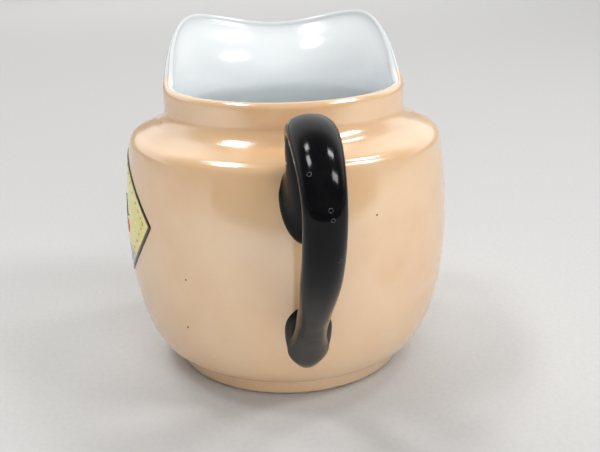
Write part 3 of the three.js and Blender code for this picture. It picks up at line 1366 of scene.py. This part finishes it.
    def front(self, run: float, across: float) -> tuple:
        """A point on the strap's outer face, and its facing.

        Args:
            run: Millimetres along the strap from its upper root.
            across: Millimetres to the side.

        Returns:
            The point in the jug's frame and the unit facing.
        """
        line = self.line()
        normal = left_normals(line)
        lengths = run_lengths(line)
        here = int(np.argmin(np.abs(lengths - run)))
        half = float(self.widths(np.array([here / self.steps]))[0]) / 2
        deep = self.thickness / 2 * (1.0 - abs(across / half) ** self.roundness) ** (1.0 / self.roundness)
        out, up = line[here] + normal[here] * deep
        lean = np.sign(across) * abs(across / half) ** (self.roundness - 1.0) * self.thickness / (2 * half)
        facing = np.array([lean, -normal[here, 0], normal[here, 1]])
        return np.array([across, self.axis_y - out, up]), facing / np.linalg.norm(facing)

    def section_points(self, line: np.ndarray, normal: np.ndarray, across: np.ndarray,
                       deep: np.ndarray) -> np.ndarray:
        """Corners of the strap's sections about the pot's axis.

        Args:
            line: The centre line.
            normal: Its unit normals.
            across: Each corner's place across the strap.
            deep: Each corner's place through the strap.

        Returns:
            One row for each corner.
        """
        out = line[:, :1] + normal[:, :1] * deep
        up = line[:, 1:] + normal[:, 1:] * deep
        return np.column_stack([across.ravel(), -out.ravel(), up.ravel()])

    def pad(self, name: str, egg: EggPad, finish: bpy.types.Material) -> bpy.types.Object:
        """A pad of slip that follows the pot's side and thins out to its edge.

        Args:
            name: The piece's name.
            egg: Its outline.
            finish: Its material.

        Returns:
            The pad.
        """
        rings, sides = self.pad_rings, self.sides
        turn = np.linspace(0.0, 2 * math.pi, sides, endpoint=False)
        tall = np.where(np.sin(turn) > 0, egg.above, egg.below)
        front, back = [], []
        for share in np.linspace(0.0, 1.0, rings + 1):
            x = share * egg.half_width * np.cos(turn)
            z = egg.height + share * tall * np.sin(turn)
            crown = self.shape.glaze + egg.thickness * (1.0 - share**egg.crown_power) ** egg.edge_power
            front.append(self.on_side(x, z, crown))
            back.append(self.on_side(x, z, -egg.depth))
        points = np.vstack(front[1:] + back[1:] + [front[0][:1], back[0][:1]])
        total = rings * sides
        rim = total - sides
        faces = grid_faces(rings, sides, turned=True, ringed=True)
        faces += grid_faces(rings, sides, first=total, ringed=True)
        for side in range(sides):
            after = (side + 1) % sides
            faces.append((2 * total, side, after))
            faces.append((2 * total + 1, total + after, total + side))
            faces.append((rim + side, total + rim + side, total + rim + after, rim + after))
        return add_mesh(name, points, faces, finish)

    def on_side(self, x: np.ndarray, z: np.ndarray, standing_off: float) -> np.ndarray:
        """Points on the pot's handle side.

        Args:
            x: Places across.
            z: Heights.
            standing_off: How far off the clay.

        Returns:
            The points in the jug's frame.
        """
        radius = self.shape.radius_at(z, standing_off)
        return np.column_stack([x, self.axis_y - np.sqrt(radius**2 - x**2), z])

    def build(self, black: BlackGlaze) -> None:
        """Make and seat the strap and its pads.

        Args:
            black: Their finish.
        """
        finish = black.material()
        seat(self.strap(finish), Slot.BLACK, "handle")
        for node, egg in self.pads().items():
            seat(self.pad(node.replace("joint", "pad"), egg, finish), Slot.BLACK, node)


@dataclass
class PaintedPanel:
    """A leaf-shaped panel on the left flank: two fields, a wavy line, a sprig and a beaded border."""

    shape: PotShape
    axis_y: float
    azimuth: float = 94.6
    height: float = 47.2
    half_length: float = 29.0
    crown: float = 14.6
    keel: float = 20.0
    bend_radius: float = 45.0
    lift: float = 0.1
    field_reach: float = 0.99
    field_steps: tuple = (60, 12)
    wave_level: float = -11.5
    wave_depth: float = 1.1
    half_waves: float = 3.5
    line_width: float = 1.2
    outline_steps: int = 90
    stroke_columns: int = 7
    stroke_crown: float = 0.16
    stem_reach: float = 13.0
    stem_level: float = 0.8
    stem_sway: float = 2.2
    stem_bend: float = 6.5
    stem_width: float = 0.55
    stem_steps: int = 40
    leaf_starts: tuple = (3, 9, 15, 25, 31, 37)
    leaf_angles: tuple = (48.0, -68.0)
    leaf_length: float = 5.6
    leaf_width: float = 2.1
    leaf_tip_width: float = 0.12
    leaf_curl: float = 0.35
    leaf_fullness: float = 0.8
    leaf_steps: int = 20
    flowers: tuple = ((-11.2, -4.6), (0.0, 6.2), (15.2, 2.4))
    petals: int = 5
    petal_turn: float = 0.3
    petal_out: float = 1.25
    petal_size: float = 1.7
    beads: int = 40
    bead_size: float = 0.8
    bead_inset: float = 0.13
    black: Enamel = Enamel("enamel_black", (0.012, 0.011, 0.011), (0.03, 0.027, 0.024))
    yellow: Enamel = Enamel("enamel_yellow", (0.92, 0.81, 0.24), (0.94, 0.84, 0.30))
    blue: Enamel = Enamel("enamel_blue", (0.36, 0.46, 0.60), (0.42, 0.51, 0.64))
    ochre: Enamel = Enamel("enamel_ochre", (0.50, 0.36, 0.05), (0.58, 0.45, 0.12))
    coral: Enamel = Enamel("enamel_coral", (0.62, 0.14, 0.07), (0.70, 0.25, 0.14))

    def edge(self, u: np.ndarray, upper: bool) -> np.ndarray:
        """The panel's outline at places along it, above or below its middle."""
        bow = 1.0 - (u / self.half_length) ** 2
        return self.crown * bow if upper else -self.keel * bow

    def wave(self, u: np.ndarray) -> np.ndarray:
        """The wavy line where the two fields meet, kept inside the outline.

        Args:
            u: Places along the panel.

        Returns:
            The line's height at each place.
        """
        swing = np.sin(u / self.half_length * self.half_waves * math.pi)
        line = self.wave_level + self.wave_depth * swing
        return np.clip(line, self.edge(u, False), self.edge(u, True))

    def places(self, spots: np.ndarray, lift: float) -> tuple:
        """Points of the panel in the jug's frame, and their facings.

        Args:
            spots: Rows of millimetres along the panel, towards the lip, and up from its middle.
            lift: How far off the glaze.

        Returns:
            The points and the unit facings, a row for each.
        """
        azimuth = math.radians(self.azimuth) + spots[:, 0] / self.bend_radius
        points, facing = self.shape.flank(azimuth, self.height + spots[:, 1], self.shape.glaze + lift)
        return points + (0.0, self.axis_y, 0.0), facing

    def dots(self, name: str, spots: np.ndarray, size: float,
             finish: bpy.types.Material) -> bpy.types.Object:
        """Dabs of enamel of one size.

        Args:
            name: The piece's name.
            spots: Their places.
            size: Their width.
            finish: Their material.

        Returns:
            The piece.
        """
        points, facing = self.places(spots, self.lift)
        return set_out(Mark.DOME, name, [(p, f, size) for p, f in zip(points, facing)], finish)

    def slab(self, name: str, grid: np.ndarray, lifts: np.ndarray, finish: bpy.types.Material,
             looped: bool = False) -> bpy.types.Object:
        """A thin closed layer of enamel over a grid of places.

        Args:
            name: The piece's name.
            grid: Rows of places, each along the panel and up.
            lifts: The layer's height across a row.
            finish: Its material.
            looped: Whether the last row joins the first.

        Returns:
            The layer.
        """
        rows, columns = grid.shape[:2]
        under, facing = self.places(grid.reshape(-1, 2), -self.lift / 2)
        top = under + facing * np.tile(lifts + self.lift / 2, rows)[:, None]
        total = rows * columns
        side = [row * columns for row in range(rows)] + ([0] if looped else [])
        end = list(range(columns))
        faces = grid_faces(rows, columns, turned=True, looped=looped)
        faces += grid_faces(rows, columns, first=total, looped=looped)
        faces += wall_faces(side, total, turned=True)
        faces += wall_faces([corner + columns - 1 for corner in side], total)
        if not looped:
            faces += wall_faces(end, total)
            faces += wall_faces([corner + total - columns for corner in end], total, turned=True)
        return add_mesh(name, np.vstack([top, under]), faces, finish)

    def paint_field(self, name: str, lower: bool, finish: bpy.types.Material) -> bpy.types.Object:
        """One of the two fields, above or below the wavy line.

        Args:
            name: The piece's name.
            lower: Whether it is the lower field.
            finish: Its material.

        Returns:
            The field.
        """
        reach = math.sqrt(1.0 + self.wave_level / self.keel) if lower else self.field_reach
        along_steps, up_steps = self.field_steps
        along = np.linspace(-1.0, 1.0, along_steps + 1) * self.half_length * reach
        low = self.edge(along, False) if lower else self.wave(along)
        high = self.wave(along) if lower else self.edge(along, True)
        share = np.linspace(0.0, 1.0, up_steps + 1)[None, :]
        up = low[:, None] * (1.0 - share) + high[:, None] * share
        grid = np.dstack([np.broadcast_to(along[:, None], up.shape), up])
        return self.slab(name, grid, np.full(up_steps + 1, self.lift), finish)

    def stroke(self, name: str, line: np.ndarray, width: np.ndarray, finish: bpy.types.Material,
               looped: bool = False) -> bpy.types.Object:
        """A brush stroke along a line of places, thickest in its middle.

        Args:
            name: The piece's name.
            line: The stroke's places.
            width: Its width at each place.
            finish: Its material.
            looped: Whether it closes on itself.

        Returns:
            The stroke.
        """
        left = left_normals(line, looped)
        across = np.linspace(0.5, -0.5, self.stroke_columns)
        grid = line[:, None, :] + left[:, None, :] * (width[:, None] * across[None, :])[:, :, None]
        lifts = self.lift + self.stroke_crown * (1.0 - (2.0 * across) ** 2)
        return self.slab(name, grid[::-1], lifts, finish, looped)

    def outline(self, inset: float, count: int) -> np.ndarray:
        """Places round the panel's edge.

        Args:
            inset: How far inside the edge, as a share of the panel.
            count: The number of places on each half.

        Returns:
            The places, anticlockwise from the right tip.
        """
        turn = np.linspace(0.0, math.pi, count + 1)[:-1]
        along = self.half_length * np.cos(turn)
        over = np.column_stack([along, self.edge(along, True)])
        below = np.column_stack([-along, self.edge(along, False)])
        return np.vstack([over, below]) * (1.0 - inset)

    def leaf(self, name: str, root: tuple, angle: float, finish: bpy.types.Material) -> bpy.types.Object:
        """One pointed leaf.

        Args:
            name: The piece's name.
            root: Where it grows from.
            angle: Its direction in degrees.
            finish: Its material.

        Returns:
            The leaf.
        """
        share = np.linspace(0.0, 1.0, self.leaf_steps + 1)
        turn = math.radians(angle) + self.leaf_curl * share
        step = self.leaf_length / self.leaf_steps
        line = np.array(root) + np.column_stack([np.cumsum(np.cos(turn)), np.cumsum(np.sin(turn))]) * step
        width = self.leaf_tip_width + self.leaf_width * np.sin(math.pi * share) ** self.leaf_fullness
        return self.stroke(name, line, width, finish)

    def build(self) -> None:
        """Paint and seat the panel's pieces."""
        black = self.black.material()
        seat(self.paint_field("panel_upper_field", False, self.yellow.material()), None)
        seat(self.paint_field("panel_lower_field", True, self.blue.material()), None)
        edge = self.outline(0.0, self.outline_steps)
        seat(self.stroke("panel_outline", edge, np.full(len(edge), self.line_width), black, True), None)
        along = np.linspace(-self.stem_reach, self.stem_reach, self.stem_steps + 1)
        stem = np.column_stack([along, self.stem_level + self.stem_sway * np.sin(along / self.stem_bend)])
        seat(self.stroke("panel_stem", stem, np.full(len(stem), self.stem_width), black), None)
        for number, start in enumerate(self.leaf_starts):
            angle = self.leaf_angles[number % len(self.leaf_angles)]
            seat(self.leaf("panel_leaf_%d" % (number + 1), tuple(stem[start]), angle, black), None)
        turn = np.arange(self.petals) * 2 * math.pi / self.petals + self.petal_turn
        ring = np.column_stack([np.cos(turn), np.sin(turn)]) * self.petal_out
        petals = np.vstack([ring + heart for heart in self.flowers])
        seat(self.dots("panel_petals", petals, self.petal_size, self.coral.material()), None)
        border = self.outline(self.bead_inset, self.beads // 2)
        seat(self.dots("panel_beads", border, self.bead_size, self.ochre.material()), None)


@dataclass
class GlazeFlaws:
    """The small marks of firing: burst bubbles on the handle and dark specks on the side.

    A bubble has its run along the strap, its place across it and its width. A speck has its degrees from the
    handle towards the left flank, its height and its width.
    """

    shape: PotShape
    handle: Handle
    bubbles: tuple = ((44.0, -2.9, 0.95), (50.3, 0.7, 0.9), (51.7, 1.1, 0.8), (60.5, 2.9, 0.75))
    specks: tuple = ((40.8, 36.3, 0.55), (43.1, 22.2, 0.6), (80.0, 70.2, 0.55), (-23.4, 52.7, 0.5))
    grey: Enamel = Enamel("bubble_rim", (0.04, 0.04, 0.043), (0.028, 0.028, 0.03))
    brown: Enamel = Enamel("brown_speck", (0.10, 0.052, 0.025), (0.16, 0.09, 0.05))

    def build(self) -> None:
        """Make and seat the marks."""
        rings = [(*self.handle.front(run, across), size) for run, across, size in self.bubbles]
        seat(set_out(Mark.RING, "handle_bubbles", rings, self.grey.material()), None)
        azimuth, height, sizes = np.array(self.specks).T
        points, facing = self.shape.flank(np.radians(azimuth), height, self.shape.glaze)
        points = points + (0.0, self.handle.axis_y, 0.0)
        dots = list(zip(points, facing, sizes))
        seat(set_out(Mark.DOME, "body_specks", dots, self.brown.material()), None)


class Window(Enum):
    """The window lamps: direction from the jug, width and height in metres, and power in watts."""

    RIGHT_LOWER = (0.62, -0.26, 0.75, (0.36, 0.22), 4.0)
    RIGHT_UPPER = (0.47, 0.14, 0.87, (0.24, 0.12), 2.0)
    LEFT_LOWER = (-0.40, 0.0, 0.91, (0.20, 0.22), 2.9)
    LEFT_UPPER = (-0.31, 0.25, 0.92, (0.18, 0.12), 1.5)


@dataclass
class Studio:
    """The floor, the dark card, the lights and the camera.

    The camera's places are in millimetres and degrees, and all others in metres. A wash has its name, place,
    size and power, and the room its pairs of place and grey from the dim side to the pale one.
    """

    axis_y: float
    camera_turn: float = 6.0
    camera_back: float = 232.8
    camera_height: float = 119.9
    pitch: float = 19.69
    yaw: float = 0.91
    roll: float = -1.25
    focal_pixels: float = 850.0
    floor_reach: float = 1.6
    floor_rise: float = 0.42
    floor_bend: float = 0.3
    bend_steps: int = 24
    sweep_steps: int = 48
    card_half_width: float = 0.42
    card_height: float = 0.085
    card_back: float = 0.265
    aim_height: float = 0.05
    window_distance: float = 1.2
    washes: tuple = (
        ("front_fill", (0.03, -0.85, 0.95), (0.9, 0.5), 4.2),
        ("low_fill", (0.08, -0.6, 0.27), (0.6, 0.08), 1.3),
        ("back_wash", (0.0, 1.55, 0.8), (1.8, 0.6), 15.0),
    )
    room: tuple = ((0.35, 0.10), (0.45, 0.35), (0.5, 0.65), (0.58, 1.0))
    room_way: tuple = (0.0, 0.65, -0.5)
    room_span: tuple = (-0.65, 0.65)

    def camera(self) -> None:
        """Stand the camera where the photograph was taken from."""
        pitch, yaw, roll = (math.radians(a) for a in (self.pitch, self.yaw, self.roll))
        forward = Vector((
            math.sin(yaw) * math.cos(pitch), math.cos(yaw) * math.cos(pitch), -math.sin(pitch)
        ))
        right = Vector((math.cos(yaw), -math.sin(yaw), 0.0))
        up = right.cross(forward)
        rolled_right = right * math.cos(roll) + up * math.sin(roll)
        rolled_up = up * math.cos(roll) - right * math.sin(roll)
        axes = Matrix((rolled_right, rolled_up, -forward)).transposed().to_4x4()
        axes.translation = Vector((0.0, -self.camera_back, self.camera_height)) * MM
        about = Matrix.Rotation(math.radians(-self.camera_turn), 4, "Z")
        data = bpy.data.cameras.new("photo_camera")
        data.sensor_width = SENSOR_WIDTH
        data.lens = self.focal_pixels / PHOTO_WIDTH * SENSOR_WIDTH
        data.clip_start = CLIP_START
        thing = link_object("photo_camera", data)
        thing.matrix_world = Matrix.Translation((0.0, self.axis_y * MM, 0.0)) @ about @ axes
        bpy.context.scene.camera = thing

    def floor(self) -> None:
        """Lay a pale floor that sweeps up behind and at both sides."""
        reach, bend = self.floor_reach, self.floor_bend
        turns = np.linspace(0.0, math.pi / 2, self.bend_steps + 1)
        curve = [(reach + bend * math.sin(turn), bend * (1.0 - math.cos(turn))) for turn in turns]
        line = [(0.0, 0.0), *curve, (reach + bend, self.floor_rise)]
        sweep = np.linspace(0.0, math.pi, self.sweep_steps + 1)
        ways = [(math.cos(turn), math.sin(turn), 0.0) for turn in sweep]
        rows = [(1.0, 0.0, -reach), *ways, (-1.0, 0.0, -reach)]
        points = np.array([(x * r, y * r + start, z) for x, y, start in rows for r, z in line]) / MM
        add_mesh("floor", points, grid_faces(len(rows), len(line)), PaleFloor().material())

    def card(self) -> None:
        """Stand a dark card behind the camera, which only the glaze's reflections show."""
        half, top, back = self.card_half_width, self.card_height, -self.card_back
        points = np.array([(-half, back, 0.0), (half, back, 0.0), (half, back, top), (-half, back, top)])
        card = add_mesh("dark_card", points / MM, [(0, 1, 2, 3)], DarkCard().material())
        card.visible_camera = False
        card.visible_diffuse = False
        card.visible_shadow = False

    def panel_light(self, name: str, place: tuple, size: tuple, power: float) -> bpy.types.Object:
        """A soft box aimed at the jug.

        Args:
            name: The light's name.
            place: Where it stands, in metres.
            size: Its width and height in metres.
            power: Its power in watts.

        Returns:
            The lamp.
        """
        data = bpy.data.lights.new(name, "AREA")
        data.shape = "RECTANGLE"
        data.size, data.size_y = size
        data.energy = power
        back = (Vector(place) - Vector((0.0, self.axis_y * MM, self.aim_height))).normalized()
        side = (Vector((1.0, 0.0, 0.0)) - back * back.x).normalized()
        thing = link_object(name, data)
        thing.location = place
        thing.rotation_euler = Matrix((side, back.cross(side), back)).transposed().to_euler()
        return thing

    def lights(self) -> None:
        """Set a divided window on each side of the jug, and washes that the glaze doesn't show."""
        for window in Window:
            across, along, up, size, power = window.value
            way = Vector((across, along, up)).normalized() * self.window_distance
            self.panel_light(window.name.lower(), tuple(way), size, power)
        for name, place, size, power in self.washes:
            self.panel_light(name, place, size, power).visible_glossy = False

    def surroundings(self) -> None:
        """Put a grey room around it all, dim above and in front and pale below and behind."""
        world = bpy.data.worlds.new("room")
        world.use_nodes = True
        room = ShaderTree(world.node_tree)
        toward = room.add("VectorMath")
        toward.operation = "DOT_PRODUCT"
        toward.inputs[1].default_value = self.room_way
        room.join(room.add("TexCoord").outputs["Generated"], toward.inputs[0])
        level = room.span(toward.outputs["Value"], self.room_span, (0.0, 1.0))
        shade = room.ramp(level, [(place, (grey, grey, grey)) for place, grey in self.room])
        room.join(shade, room.tree.nodes["Background"].inputs["Color"])
        bpy.context.scene.world = world

    def build(self) -> None:
        """Set up the whole studio."""
        self.camera()
        self.floor()
        self.card()
        self.lights()
        self.surroundings()


def main() -> None:
    """Build the jug's pieces in order."""
    logging.basicConfig(level=logging.INFO, format="%(name)s %(message)s")
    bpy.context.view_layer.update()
    bpy.context.scene.view_settings.view_transform = "Standard"
    shape = PotShape()
    low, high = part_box("pot_body")
    axis_y = (low[1] + high[1]) / 2 / MM
    Studio(axis_y).build()
    Pot(shape, axis_y).build(BareClay(), WhiteGlaze(), PeachLustre())
    handle = Handle(shape, axis_y)
    handle.build(BlackGlaze())
    PaintedPanel(shape, axis_y).build()
    GlazeFlaws(shape, handle).build()


if __name__ == "__main__":
    main()
